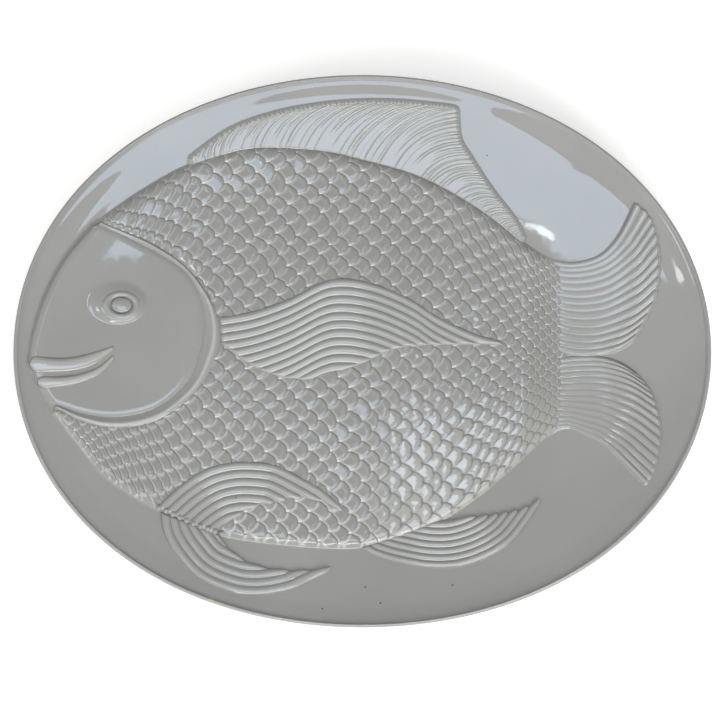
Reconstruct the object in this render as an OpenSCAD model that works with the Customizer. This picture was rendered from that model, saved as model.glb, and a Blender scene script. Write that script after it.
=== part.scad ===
// Oval ceramic platter with a fish in relief.
// Origin at the middle of the foot, on the table. +X runs to the fish's tail,
// +Y to its back, +Z up.

/* [Platter] */
// Length of the oval, from the nose end to the tail end
platter_len = 400; // [340:1:480]
// Width of the oval, from the belly side to the back side
platter_w = 323; // [280:1:380]
// Thickness of the clay
wall_t = 6.5; // [5:0.1:9]
// Rise of the dish from the middle of its floor to the rim
dish_depth = 14; // [9:0.5:20]

/* [Rim lip] */
// Width of the rounded lip
lip_w = 6; // [4:0.5:9]
// Height of the lip above the dish
lip_h = 1.6; // [0.8:0.1:3]
// Rounding of the edge under the lip, measured inwards
edge_round = 5; // [3:0.5:8]

/* [Foot ring] */
// Length of the foot ring over its outer edge
foot_len = 236; // [180:1:280]
// Width of the band that meets the table
foot_band = 8; // [5:0.5:14]
// Height of the floor's underside above the table
foot_h = 4; // [2.5:0.1:7]

/* [Fish body] */
// Height of the body's edge above the dish
body_edge_h = 1.7; // [1.2:0.1:3]
// Further rise of the body to the top of its dome
body_dome_h = 3.8; // [2:0.1:6]
// Height of the scales at their free edges
scale_h = 0.8; // [0.3:0.1:1.4]

/* [Fish head] */
// Height of the cheek above the line of the body's dome
cheek_h = 0.4; // [0.2:0.1:1]
// Height of the gill cover's crest above the same line
gill_h = 1.4; // [0.8:0.1:2.5]
// Height of the two lips above the cheek
mouth_h = 1.4; // [0.8:0.1:2]
// Length of the eye's rim
eye_len = 22; // [16:0.5:28]
// Height of the eye from its upper to its lower edge
eye_w = 16.5; // [12:0.5:22]
// Width of the eye's raised rim
eye_band = 4; // [2:0.5:6]
// Height of the rim above the cheek
eye_h = 1.4; // [0.6:0.1:2.5]
// Room between the rim and the pupil
pupil_gap = 1.2; // [0.4:0.1:2]
// Height of the pupil above the cheek
pupil_h = 1.8; // [0.8:0.1:3]

/* [Fins] */
// Height of a fin between its rays
fin_h = 0.9; // [0.5:0.1:2]
// Height of the rays above the fin
ray_h = 1; // [0.4:0.1:2]
// Height of the fine rays of the dorsal fin
dorsal_ray_h = 0.6; // [0.3:0.1:1.2]

/* [Fits] */
// Film of slip between a relief piece and what it is luted to
slip_gap = 0.08; // [0.05:0.01:0.2]

/* [Hidden] */

// Fineness of the round pieces, and steps along the curves of the dish's section
$fn = 144;
dish_steps = 16;
foot_steps = 4;
arc_step = 18;
quarter = 90;

// The dish stays flat in the middle and turns up late
dish_power = 3;

// Scales and rays, counted on the fish
scale_columns = 38;
scale_rows = 46;
pectoral_rays = 11;
tail_rays = 13;
pelvic_rays = 7;
anal_rays = 7;
dorsal_rays = 44;

// Steps along the rays of each fin, and across the smooth pieces
pectoral_steps = 18;
tail_steps = 12;
pelvic_steps = 14;
anal_steps = 14;
dorsal_steps = 4;
head_steps = [12, 16];
gill_steps = [4, 26];
mouth_steps = [12, 4];

half_len = platter_len / 2;
half_w = platter_w / 2;
oval = half_w / half_len;
floor_z = foot_h + wall_t;
rim_z = floor_z + dish_depth + lip_h;
overrun = wall_t;

glaze = [0.74, 0.75, 0.73];
bare_clay = [0.86, 0.81, 0.72];

// Outlines of the fish, as shares of half the platter's length and width
face_shares = [[-0.884, -0.190], [-0.914, -0.137], [-0.940, -0.066], [-0.949, -0.015],
    [-0.940, 0.057], [-0.906, 0.193], [-0.849, 0.330], [-0.770, 0.450]];
gill_inner_shares = [[-0.876, -0.196], [-0.806, -0.224], [-0.706, -0.235], [-0.609, -0.217],
    [-0.509, -0.138], [-0.463, -0.055], [-0.450, 0.032], [-0.457, 0.125], [-0.506, 0.247],
    [-0.606, 0.358], [-0.758, 0.452]];
gill_outer_shares = [[-0.876, -0.212], [-0.830, -0.243], [-0.771, -0.272], [-0.674, -0.285],
    [-0.609, -0.274], [-0.509, -0.220], [-0.443, -0.120], [-0.414, 0.028], [-0.416, 0.130],
    [-0.463, 0.230], [-0.517, 0.305], [-0.614, 0.384], [-0.752, 0.464]];
belly_shares = [[-0.751, -0.418], [-0.666, -0.501], [-0.574, -0.562], [-0.477, -0.616],
    [-0.406, -0.648], [-0.280, -0.673], [-0.117, -0.691], [-0.003, -0.690], [0.091, -0.663],
    [0.206, -0.605], [0.289, -0.544], [0.369, -0.468], [0.449, -0.382], [0.503, -0.317],
    [0.550, -0.272]];
back_shares = [[-0.640, 0.571], [-0.509, 0.665], [-0.377, 0.722], [-0.280, 0.740],
    [-0.117, 0.729], [-0.014, 0.701], [0.151, 0.643], [0.283, 0.560], [0.380, 0.478],
    [0.451, 0.406], [0.508, 0.357]];
tail_root_shares = [[0.550, -0.272], [0.524, -0.180], [0.510, -0.060], [0.502, 0.060],
    [0.500, 0.210], [0.508, 0.357]];
jaw_corner_share = [-0.880, -0.214];
nape_corner_share = [-0.754, 0.470];
head_middle_share = [-0.680, 0.120];
head_room_share = 0.008;

upper_lip_top_shares = [[-0.938, -0.022], [-0.891, -0.026], [-0.837, -0.022], [-0.777, -0.004],
    [-0.717, 0.021]];
upper_lip_low_shares = [[-0.930, -0.080], [-0.877, -0.080], [-0.817, -0.069], [-0.763, -0.044],
    [-0.717, 0.006]];
lower_lip_top_shares = [[-0.926, -0.094], [-0.869, -0.091], [-0.811, -0.080], [-0.757, -0.053],
    [-0.717, -0.012]];
lower_lip_low_shares = [[-0.910, -0.134], [-0.863, -0.123], [-0.809, -0.109], [-0.751, -0.080],
    [-0.714, -0.026]];
eye_share = [-0.691, 0.168];

dorsal_base_shares = [[-0.486, 0.697], [-0.377, 0.744], [-0.280, 0.762], [-0.117, 0.751],
    [-0.014, 0.722], [0.151, 0.665], [0.283, 0.582], [0.380, 0.499], [0.448, 0.424]];
dorsal_edge_shares = [[-0.490, 0.708], [-0.377, 0.809], [-0.249, 0.866], [-0.117, 0.906],
    [-0.046, 0.920], [0.086, 0.909], [0.217, 0.895], [0.266, 0.880]];
dorsal_rear_shares = [[0.448, 0.424], [0.431, 0.488], [0.366, 0.593], [0.309, 0.701],
    [0.274, 0.776], [0.266, 0.880]];

pectoral_top_shares = [[-0.409, 0.129], [-0.314, 0.150], [-0.214, 0.194], [-0.111, 0.258],
    [-0.046, 0.269], [0.020, 0.255], [0.086, 0.226], [0.151, 0.186], [0.217, 0.132],
    [0.314, 0.075], [0.403, 0.042]];
pectoral_low_shares = [[-0.404, 0.035], [-0.326, -0.037], [-0.249, -0.080], [-0.183, -0.094],
    [-0.117, -0.091], [-0.051, -0.060], [0.006, -0.034], [0.071, 0.006], [0.140, 0.026],
    [0.240, 0.031], [0.403, 0.032]];

tail_upper_top_shares = [[0.517, 0.353], [0.577, 0.327], [0.640, 0.330], [0.691, 0.355],
    [0.731, 0.406], [0.757, 0.460], [0.786, 0.535]];
tail_upper_low_shares = [[0.512, 0.060], [0.540, 0.035], [0.600, -0.002], [0.666, -0.009],
    [0.731, -0.004]];
tail_upper_edge_shares = [[0.731, -0.004], [0.766, 0.039], [0.803, 0.107], [0.837, 0.186],
    [0.851, 0.276], [0.851, 0.352], [0.843, 0.431], [0.823, 0.492], [0.786, 0.535]];
tail_upper_root_shares = [[0.512, 0.060], [0.509, 0.210], [0.517, 0.353]];
tail_lower_top_shares = [[0.520, -0.058], [0.551, -0.036], [0.609, -0.026], [0.680, -0.028],
    [0.735, -0.040]];
tail_lower_low_shares = [[0.561, -0.268], [0.591, -0.264], [0.643, -0.292], [0.683, -0.317],
    [0.723, -0.361], [0.754, -0.404], [0.809, -0.479]];
tail_lower_edge_shares = [[0.809, -0.479], [0.831, -0.429], [0.846, -0.353], [0.851, -0.271],
    [0.831, -0.184], [0.789, -0.102], [0.735, -0.040]];
tail_lower_root_shares = [[0.561, -0.268], [0.534, -0.180], [0.520, -0.058]];

pelvic_near_top_shares = [[-0.560, -0.526], [-0.509, -0.468], [-0.443, -0.418],
    [-0.377, -0.396], [-0.314, -0.393], [-0.249, -0.404], [-0.183, -0.443], [-0.117, -0.490],
    [-0.057, -0.552]];
pelvic_near_low_shares = [[-0.406, -0.625], [-0.372, -0.585], [-0.346, -0.558],
    [-0.314, -0.533], [-0.249, -0.515], [-0.183, -0.508], [-0.117, -0.526], [-0.064, -0.560]];
pelvic_far_low_shares = [[-0.571, -0.584], [-0.563, -0.655], [-0.523, -0.738], [-0.463, -0.814],
    [-0.377, -0.860], [-0.300, -0.871], [-0.214, -0.853], [-0.149, -0.817], [-0.094, -0.784]];
pelvic_far_top_shares = [[-0.431, -0.655], [-0.377, -0.713], [-0.314, -0.763], [-0.249, -0.781],
    [-0.183, -0.787], [-0.100, -0.776]];
anal_low_shares = [[0.006, -0.713], [0.037, -0.727], [0.106, -0.753], [0.194, -0.771],
    [0.274, -0.767], [0.354, -0.735], [0.423, -0.681], [0.469, -0.612], [0.506, -0.544]];
anal_top_shares = [[0.206, -0.622], [0.300, -0.591], [0.369, -0.587], [0.437, -0.573],
    [0.477, -0.555], [0.500, -0.536]];

// The dome of the fish: an oval swelling with its middle behind the head
dome_middle_share = [-0.150, 0.030];
dome_reach_share = [0.820, 0.760];

// How far a scale's high point is drawn towards the tail, in steps of the scale pattern
scale_tip_share = 0.45;

function lerp(a, b, t) = a + (b - a) * t;

function clamp(x) = max(0, min(1, x));

// Smooth curve through a row of points, for t from 0 to 1
function bend(a, b, c, d, t) =
    b + (c - a) * t / 2 + (2 * a - 5 * b + 4 * c - d) * t * t / 2
    + (3 * (b - c) + d - a) * t * t * t / 2;

function along(row, t) =
    let (last = len(row) - 1, k = min(floor(t * last), last - 1))
    bend(row[max(k - 1, 0)], row[k], row[k + 1], row[min(k + 2, last)], t * last - k);

// Point of the patch that four edges enclose: u runs from front to rear, v from low to high
function patch(low, high, front, rear, u, v) =
    let (end = len(low) - 1, top_end = len(high) - 1)
    lerp(along(low, u), along(high, u), v) + lerp(along(front, v), along(rear, v), u)
    - lerp(lerp(low[0], low[end], u), lerp(high[0], high[top_end], u), v);

// Patch between two edges, with straight ends
function band(low, high, u, v) =
    patch(low, high, [low[0], high[0]], [low[len(low) - 1], high[len(high) - 1]], u, v);

function resized(row, middle, by) = [for (p = row) middle + (p - middle) * by];

function plan(share) = [share.x * half_len, share.y * half_w];

// Upper face of the dish at a distance from its middle, and at a point of the plan
function dish_z(r) = floor_z + dish_depth * pow(r / half_len, dish_power);

function plate_z(p) = dish_z(norm([p.x, p.y / oval]));

// Height of the fish's dome above the dish
function fish_rise(p) =
    let (far = [p.x / half_len - dome_middle_share.x, p.y / half_w - dome_middle_share.y],
        q = pow(far.x / dome_reach_share.x, 2) + pow(far.y / dome_reach_share.y, 2))
    body_edge_h + body_dome_h * clamp(1 - q);

function cheek_z(p) = plate_z(p) + fish_rise(p) + cheek_h;

function scale_z(p) = plate_z(p) + fish_rise(p) + scale_h;

// Rounded ridge, highest halfway between whole numbers
function ridge(x) = (1 - cos(360 * x)) / 2;

// One relief piece: a grid of points over its plan, raised above the seat it is luted to
module relief(columns, rows, place, rise, seat) {
    spots = [for (i = [0:columns]) for (j = [0:rows]) [i / columns, j / rows]];
    flat = [for (s = spots) plan(place(s[0], s[1]))];
    count = len(spots);
    crest = [for (k = [0:count - 1])
        [flat[k].x, flat[k].y, seat(flat[k]) + rise(flat[k], spots[k][0], spots[k][1])]];
    sole = [for (p = flat) [p.x, p.y, seat(p) + slip_gap]];
    at = function (i, j) i * (rows + 1) + j;
    skin = [for (i = [0:columns - 1]) for (j = [0:rows - 1])
        let (a = at(i, j), b = at(i, j + 1), c = at(i + 1, j + 1), d = at(i + 1, j))
        each (i + j) % 2 == 0 ? [[a, b, c], [a, c, d]] : [[a, b, d], [b, c, d]]];
    under = [for (f = skin) [f[2] + count, f[1] + count, f[0] + count]];
    edge = concat([for (i = [0:columns - 1]) [at(i, 0), at(i + 1, 0)]],
        [for (j = [0:rows - 1]) [at(columns, j), at(columns, j + 1)]],
        [for (i = [columns:-1:1]) [at(i, rows), at(i - 1, rows)]],
        [for (j = [rows:-1:1]) [at(0, j), at(0, j - 1)]]);
    wall = [for (e = edge)
        each [[e[0], e[1], e[1] + count], [e[0], e[1] + count, e[0] + count]]];
    polyhedron(concat(crest, sole), concat(skin, under, wall));
}

// A fin with rays that run along it, from its root to its tip
module rayed_fin(low, high, front, rear, rays, steps, seat) {
    relief(steps, rays * 2,
        function (u, v) patch(low, high, front, rear, u, v),
        function (p, u, v) fin_h + ray_h * ridge(v * rays),
        seat);
}

// A rayed fin with straight ends
module leaf_fin(low, high, rays, steps, seat) {
    rayed_fin(low, high, [low[0], high[0]], [low[len(low) - 1], high[len(high) - 1]],
        rays, steps, seat);
}

// A section turned round the Z axis in four quarters, each drawn in across its width to an oval
module oval_turn(width_share) {
    for (a = [0:quarter:3 * quarter])
        scale([1, width_share, 1]) rotate([0, 0, a]) rotate_extrude(angle = quarter) children();
}

module platter() {
    lip_in = half_len - lip_w;
    lip_mid = half_len - lip_w / 2;
    lip_rise = rim_z - dish_z(lip_in);
    edge_in = half_len - edge_round;
    edge_top = rim_z - lip_w / 2;
    edge_drop = edge_top - dish_z(edge_in) + wall_t;
    upper = [for (i = [0:dish_steps]) [lip_in * i / dish_steps, dish_z(lip_in * i / dish_steps)]];
    lip = concat(
        [for (a = [180 - arc_step:-arc_step:90])
            [lip_mid + lip_w / 2 * cos(a), rim_z + lip_rise * (sin(a) - 1)]],
        [for (a = [90 - arc_step:-arc_step:0])
            [lip_mid + lip_w / 2 * cos(a), edge_top + lip_w / 2 * sin(a)]],
        [for (a = [arc_step:arc_step:90])
            [edge_in + edge_round * cos(a), edge_top - edge_drop * sin(a)]]);
    lower = [for (i = [dish_steps - 1:-1:0])
        [edge_in * i / dish_steps, dish_z(edge_in * i / dish_steps) - wall_t]];
    color(glaze) oval_turn(oval) polygon(concat(upper, lip, lower));
}

module foot_ring() {
    outer = foot_len / 2;
    inner = outer - foot_band;
    top = [for (i = [0:foot_steps])
        let (r = lerp(inner, outer, i / foot_steps)) [r, dish_z(r) - wall_t - slip_gap]];
    color(bare_clay) difference() {
        oval_turn(oval) polygon(concat(top, [[outer, -overrun], [inner, -overrun]]));
        translate([-half_len, -half_len, -overrun * 2]) cube([platter_len, platter_len, overrun * 2]);
    }
}

module fish_body() {
    gill = concat([jaw_corner_share], resized(gill_outer_shares, head_middle_share, 1 + head_room_share),
        [nape_corner_share]);
    low = concat([jaw_corner_share], belly_shares);
    high = concat([nape_corner_share], back_shares);
    // A scale's high point stands between four low corners, drawn towards the tail
    tip = function (u, v)
        let (i = round(u * scale_columns), j = round(v * scale_rows))
        (i + j) % 2 == 1 && i > 0 && i < scale_columns && j > 0 && j < scale_rows ? 1 : 0;
    color(glaze) relief(scale_columns, scale_rows,
        function (u, v) patch(low, high, gill, tail_root_shares,
            u + tip(u, v) * scale_tip_share / scale_columns, v),
        function (p, u, v) fish_rise(p) + scale_h * tip(u, v),
        function (p) plate_z(p));
}

module fish_head() {
    cheek = resized(gill_inner_shares, head_middle_share, 1 - head_room_share);
    color(glaze) relief(head_steps[0], head_steps[1],
        function (u, v) lerp(along(face_shares, v), along(cheek, v), u),
        function (p, u, v) fish_rise(p) + cheek_h,
        function (p) plate_z(p));
}

module gill_cover() {
    color(glaze) relief(gill_steps[0], gill_steps[1],
        function (u, v) lerp(along(gill_inner_shares, v), along(gill_outer_shares, v), u),
        function (p, u, v) fish_rise(p) + gill_h * ridge(u),
        function (p) plate_z(p));
}

module mouth_lip(low, high) {
    relief(mouth_steps[0], mouth_steps[1],
        function (u, v) band(low, high, u, v),
        function (p, u, v) mouth_h * (1 + ridge(v)) / 2,
        function (p) cheek_z(p));
}

module upper_lip() {
    color(glaze) mouth_lip(upper_lip_low_shares, upper_lip_top_shares);
}

module lower_lip() {
    color(glaze) mouth_lip(lower_lip_low_shares, lower_lip_top_shares);
}

// Sets a piece on the cheek at the eye, leaning as the cheek does there
module at_eye() {
    middle = plan(eye_share);
    step_x = [eye_len / 2, 0];
    step_y = [0, eye_w / 2];
    fore = cheek_z(middle - step_x);
    aft = cheek_z(middle + step_x);
    below = cheek_z(middle - step_y);
    above = cheek_z(middle + step_y);
    lean_x = (aft - fore) / eye_len;
    lean_y = (above - below) / eye_w;
    // The cheek is a shallow saddle here, so the eye stands on its highest line
    seat = max(cheek_z(middle), (fore + aft) / 2, (below + above) / 2);
    translate([middle.x, middle.y, seat + slip_gap])
        rotate([atan(lean_y), -atan(lean_x), 0])
        oval_turn(eye_w / eye_len) children();
}

module eye_rim() {
    mid = (eye_len - eye_band) / 2;
    color(glaze) at_eye()
        polygon([for (a = [0:arc_step:180]) [mid - eye_band / 2 * cos(a), eye_h * sin(a)]]);
}

module pupil() {
    r = eye_len / 2 - eye_band - pupil_gap;
    color(glaze) at_eye()
        polygon(concat([[0, 0]], [for (a = [0:arc_step:90]) [r * cos(a), pupil_h * sin(a)]]));
}

module dorsal_fin() {
    color(glaze) relief(dorsal_rays * 2, dorsal_steps,
        function (u, v) patch(dorsal_base_shares, dorsal_edge_shares,
            [dorsal_base_shares[0], dorsal_edge_shares[0]], dorsal_rear_shares, u, v),
        function (p, u, v) fin_h + dorsal_ray_h * ridge(u * dorsal_rays),
        function (p) plate_z(p));
}

module pectoral_fin() {
    color(glaze) leaf_fin(pectoral_low_shares, pectoral_top_shares, pectoral_rays, pectoral_steps,
        function (p) scale_z(p));
}

module tail_upper_lobe() {
    color(glaze) rayed_fin(tail_upper_low_shares, tail_upper_top_shares, tail_upper_root_shares,
        tail_upper_edge_shares, tail_rays, tail_steps, function (p) plate_z(p));
}

module tail_lower_lobe() {
    color(glaze) rayed_fin(tail_lower_low_shares, tail_lower_top_shares, tail_lower_root_shares,
        tail_lower_edge_shares, tail_rays, tail_steps, function (p) plate_z(p));
}

module pelvic_fin_near() {
    color(glaze) leaf_fin(pelvic_near_low_shares, pelvic_near_top_shares, pelvic_rays, pelvic_steps,
        function (p) scale_z(p));
}

module pelvic_fin_far() {
    color(glaze) leaf_fin(pelvic_far_low_shares, pelvic_far_top_shares, pelvic_rays, pelvic_steps,
        function (p) plate_z(p));
}

module anal_fin() {
    color(glaze) leaf_fin(anal_low_shares, anal_top_shares, anal_rays, anal_steps,
        function (p) plate_z(p));
}

platter();
foot_ring();
fish_body();
fish_head();
gill_cover();
upper_lip();
lower_lip();
eye_rim();
pupil();
dorsal_fin();
pectoral_fin();
tail_upper_lobe();
tail_lower_lobe();
pelvic_fin_near();
pelvic_fin_far();
anal_fin();
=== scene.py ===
# An oval platter of white glazed ceramic with a fish in relief, dressed for a studio picture.
import math

import bmesh
import bpy
import numpy as np
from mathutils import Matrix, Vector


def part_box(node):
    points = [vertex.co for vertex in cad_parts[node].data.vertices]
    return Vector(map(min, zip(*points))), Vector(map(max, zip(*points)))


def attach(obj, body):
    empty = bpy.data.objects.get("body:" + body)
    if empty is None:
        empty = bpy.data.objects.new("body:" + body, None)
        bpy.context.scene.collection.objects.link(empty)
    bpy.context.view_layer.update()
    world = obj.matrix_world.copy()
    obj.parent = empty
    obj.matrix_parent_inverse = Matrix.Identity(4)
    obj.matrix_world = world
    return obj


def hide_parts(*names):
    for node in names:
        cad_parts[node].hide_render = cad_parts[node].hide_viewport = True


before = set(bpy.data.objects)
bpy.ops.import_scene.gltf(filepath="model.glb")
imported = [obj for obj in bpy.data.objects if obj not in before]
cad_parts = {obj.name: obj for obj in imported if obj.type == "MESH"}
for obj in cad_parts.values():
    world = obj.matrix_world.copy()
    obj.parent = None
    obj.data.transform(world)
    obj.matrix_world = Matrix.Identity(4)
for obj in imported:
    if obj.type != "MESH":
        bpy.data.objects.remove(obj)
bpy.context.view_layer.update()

mm = 0.001

# Camera: a view from almost straight above, a little towards the fish's belly.
# A long lens from far off, shifted by a few pixels so that the oval sits as it does in the picture.
view_distance = 4000 * mm
view_elevation = math.radians(80)
view_height = 24 * mm
bpy.ops.object.camera_add(
    location=(0, -view_distance * math.cos(view_elevation),
              view_height + view_distance * math.sin(view_elevation)),
    rotation=(math.pi / 2 - view_elevation, 0, 0))
camera = bpy.context.object
camera.data.sensor_width = 36
camera.data.lens = 349
camera.data.shift_x = -0.0032
camera.data.shift_y = -0.0128
bpy.context.scene.camera = camera
bpy.context.scene.view_settings.view_transform = "Standard"

# Platter: the pressed oval dish, pale earthenware under a thick gloss glaze.
# Its section is turned, drawn in to an oval and rounded over into a soft lip at the edge.
platter_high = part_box("platter")[1]
half_len = platter_high.x
half_w = platter_high.y
oval = half_w / half_len
rim_z = platter_high.z
wall_t = 6.5 * mm
dish_depth = 14 * mm
dish_power = 3
lip_h = 1.6 * mm
lip_w = 3.4 * mm
lip_step_w = 1.5 * mm
lip_swell_w = 15 * mm
lip_swell_h = 0.6 * mm
edge_round = 5 * mm
floor_z = rim_z - lip_h - dish_depth
glaze_color = (0.330, 0.338, 0.332, 1)
# The cream colour lightens crests, partly thinned glaze and partly a painted highlight. The dark grey
# darkens creases, partly pooled glaze and partly painted shade, and it also tints the random cloud.
glaze_thin_and_highlight_color = (0.62, 0.62, 0.59, 1)
glaze_pool_and_shade_color = (0.20, 0.203, 0.196, 1)
clay_chip_color = (0.42, 0.37, 0.30, 1)
glaze_pit_color = (0.09, 0.085, 0.08, 1)
glaze_cloud_scale = 16
glaze_cloud = 0.22
glaze_rough_scale = 60
glaze_rough_range = (0.015, 0.035)
glaze_ripple_scale = 110
glaze_ripple = 0.045
glaze_ripple_h = 0.4 * mm
glaze_pit_scale = 28
glaze_pit_range = (0.009, 0.015)
ragged_scale = 900
rim_chip = (-0.0857, -0.1438, 0.0255)
rim_chip_r = 2.4 * mm
pinhole_r = 0.7 * mm
pinholes = ((0.0017, -0.136), (0.0103, -0.1453), (0.0514, -0.135), (-0.0229, -0.1489), (0.072, 0.1154))
dish_steps = 288
seam_gap = 0.002 * mm
corner_bulge = 0.0075
corner_power = 8
belly_side_flat = 1.6 * mm
belly_side_power = 10
rim_wave = 0.25 * mm


def dish_height(x, y):
    """Upper face of the dish above the table, at points of its plan."""
    return floor_z + dish_depth * (np.hypot(x, y / oval) / half_len) ** dish_power


def start_piece(name):
    """Names the new primitive and makes it the only one that is selected."""
    piece = bpy.context.object
    bpy.ops.object.select_all(action="DESELECT")
    piece.select_set(True)
    piece.name = piece.data.name = name
    return piece


def vertex_places(piece):
    """The piece's vertex coordinates, one row each."""
    places = np.empty(len(piece.data.vertices) * 3)
    piece.data.vertices.foreach_get("co", places)
    return places.reshape(-1, 3)


def set_vertex_places(piece, places):
    piece.data.vertices.foreach_set("co", np.ascontiguousarray(places).ravel())
    piece.data.update()


def spin_section(name, section, width_share, steps):
    """Draws a section from one vertex, turns it round the Z axis and draws it in across its width."""
    bpy.ops.mesh.primitive_plane_add(size=mm)
    piece = start_piece(name)
    bpy.ops.object.mode_set(mode="EDIT")
    bpy.ops.mesh.select_mode(type="VERT")
    bpy.ops.mesh.select_all(action="SELECT")
    bpy.ops.mesh.merge(type="CENTER")
    bpy.ops.transform.translate(value=(section[0][0], 0, section[0][1]))
    for here, there in zip(section, section[1:]):
        step = (there[0] - here[0], 0, there[1] - here[1])
        bpy.ops.mesh.extrude_vertices_move(TRANSFORM_OT_translate={"value": step})
    bpy.ops.mesh.select_all(action="SELECT")
    bpy.ops.mesh.spin(steps=steps, angle=2 * math.pi, center=(0, 0, 0), axis=(0, 0, 1))
    bpy.ops.mesh.select_all(action="SELECT")
    bpy.ops.mesh.remove_doubles(threshold=seam_gap)
    bpy.ops.transform.resize(value=(1, width_share, 1), center_override=(0, 0, 0))
    bpy.ops.mesh.normals_make_consistent(inside=False)
    bpy.ops.object.mode_set(mode="OBJECT")
    bpy.ops.object.shade_smooth()
    return piece


def white_glaze():
    """Gloss glaze: cloudy pale grey, darker in creases and grooves where it pools and by painted shade,
    lighter over crests where it thins and by painted highlights and reflections, with a soft ripple, a few
    pinholes and a bare chip on the rim."""
    material = bpy.data.materials.new("white_glaze")
    material.use_nodes = True
    nodes, links = material.node_tree.nodes, material.node_tree.links
    shader = nodes["Principled BSDF"]
    shader.inputs["IOR"].default_value = 1.52
    where = nodes.new("ShaderNodeTexCoord").outputs["Object"]

    def noise(scale, detail):
        node = nodes.new("ShaderNodeTexNoise")
        node.inputs["Scale"].default_value = scale
        node.inputs["Detail"].default_value = detail
        links.new(where, node.inputs["Vector"])
        return node.outputs["Fac"]

    def ranged(value, low, high, to_low, to_high):
        node = nodes.new("ShaderNodeMapRange")
        node.inputs["From Min"].default_value = low
        node.inputs["From Max"].default_value = high
        node.inputs["To Min"].default_value = to_low
        node.inputs["To Max"].default_value = to_high
        links.new(value, node.inputs["Value"])
        return node.outputs["Result"]

    def mixed(amount, base, top):
        node = nodes.new("ShaderNodeMix")
        node.data_type = "RGBA"
        links.new(amount, node.inputs["Factor"])
        for socket, value in (("A", base), ("B", top)):
            target = [s for s in node.inputs if s.name == socket and s.type == "RGBA"][0]
            if isinstance(value, tuple):
                target.default_value = value
            else:
                links.new(value, target)
        return [s for s in node.outputs if s.type == "RGBA"][0]

    def near(spot, reach):
        """1 at a spot, falling to 0 at its ragged edge."""
        node = nodes.new("ShaderNodeVectorMath")
        node.operation = "DISTANCE"
        links.new(where, node.inputs[0])
        node.inputs[1].default_value = spot
        ragged = nodes.new("ShaderNodeMath")
        ragged.operation = "MULTIPLY_ADD"
        links.new(noise(ragged_scale, 2), ragged.inputs[0])
        ragged.inputs[1].default_value = reach
        links.new(node.outputs["Value"], ragged.inputs[2])
        return ranged(ragged.outputs["Value"], reach * 1.2, reach * 1.4, 1, 0)

    # Painted shade and painted highlight: these two marks darken creases and lighten crests and pebble
    # faces, partly as pooled and thinned glaze.
    pool_and_shade = nodes.new("ShaderNodeAttribute")
    pool_and_shade.attribute_name = "pool_and_shade"
    thin_and_highlight = nodes.new("ShaderNodeAttribute")
    thin_and_highlight.attribute_name = "thin_and_highlight"
    cloud = ranged(noise(glaze_cloud_scale, 3), 0.3, 0.7, 0, glaze_cloud)
    color = mixed(cloud, glaze_color, glaze_pool_and_shade_color)
    color = mixed(thin_and_highlight.outputs["Fac"], color, glaze_thin_and_highlight_color)
    color = mixed(pool_and_shade.outputs["Fac"], color, glaze_pool_and_shade_color)
    pits = nodes.new("ShaderNodeTexVoronoi")
    pits.inputs["Scale"].default_value = glaze_pit_scale
    links.new(where, pits.inputs["Vector"])
    color = mixed(ranged(pits.outputs["Distance"], *glaze_pit_range, 1, 0), color, glaze_pit_color)
    for x, y in pinholes:
        color = mixed(near((x, y, dish_height(x, y)), pinhole_r), color, glaze_pit_color)
    color = mixed(near(rim_chip, rim_chip_r), color, clay_chip_color)
    links.new(color, shader.inputs["Base Color"])
    rough = ranged(noise(glaze_rough_scale, 2), 0.3, 0.7, *glaze_rough_range)
    links.new(rough, shader.inputs["Roughness"])
    ripple = nodes.new("ShaderNodeBump")
    ripple.inputs["Strength"].default_value = glaze_ripple
    ripple.inputs["Distance"].default_value = glaze_ripple_h
    links.new(noise(glaze_ripple_scale, 1), ripple.inputs["Height"])
    links.new(ripple.outputs["Normal"], shader.inputs["Normal"])
    return material


lip_mid = half_len - lip_w / 2
lip_in = lip_mid - lip_step_w
swell_in = lip_in - lip_swell_w
edge_in = half_len - edge_round
edge_top = rim_z - lip_w / 2
edge_drop = edge_top - dish_height(edge_in, 0) + wall_t
quarter = np.linspace(0, math.pi / 2, 9)
section = [(r, dish_height(r, 0)) for r in np.linspace(0, swell_in, 60)]
for x in np.linspace(0, 1, 14)[1:]:
    r = swell_in + lip_swell_w * x
    section.append((r, dish_height(r, 0) + lip_swell_h * (1 - math.cos(math.pi * x)) / 2))
for x in np.linspace(0, 1, 9)[1:]:
    r = lip_in + lip_step_w * x
    rise = (1 - math.cos(math.pi * x)) / 2
    section.append((r, (dish_height(r, 0) + lip_swell_h) * (1 - rise) + rim_z * rise))
section += [(lip_mid + lip_w / 2 * math.sin(a), edge_top + lip_w / 2 * math.cos(a)) for a in quarter[1:]]
section += [(edge_in + edge_round * math.cos(a), edge_top - edge_drop * math.sin(a)) for a in quarter[1:]]
section += [(r, dish_height(r, 0) - wall_t) for r in np.linspace(edge_in, 0, 40)[1:]]
platter = spin_section("platter_dish", section, oval, dish_steps)
places = vertex_places(platter)
turn = np.arctan2(places[:, 1] / oval, places[:, 0])
reach = np.hypot(places[:, 0], places[:, 1] / oval) / half_len
places[:, :2] *= (1 + corner_bulge * (1 - np.cos(4 * turn)) / 2 * reach ** corner_power)[:, None]
places[:, 1] += belly_side_flat * np.clip(-np.sin(turn), 0, 1) ** 6 * reach ** belly_side_power
wave = (2 + np.sin(2 * turn + 0.6) + np.sin(3 * turn - 1)) / 4
places[:, 2] -= rim_wave * wave * reach ** corner_power
set_vertex_places(platter, places)
glaze = white_glaze()
platter.data.materials.append(glaze)
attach(platter, "root")
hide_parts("platter")

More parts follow.
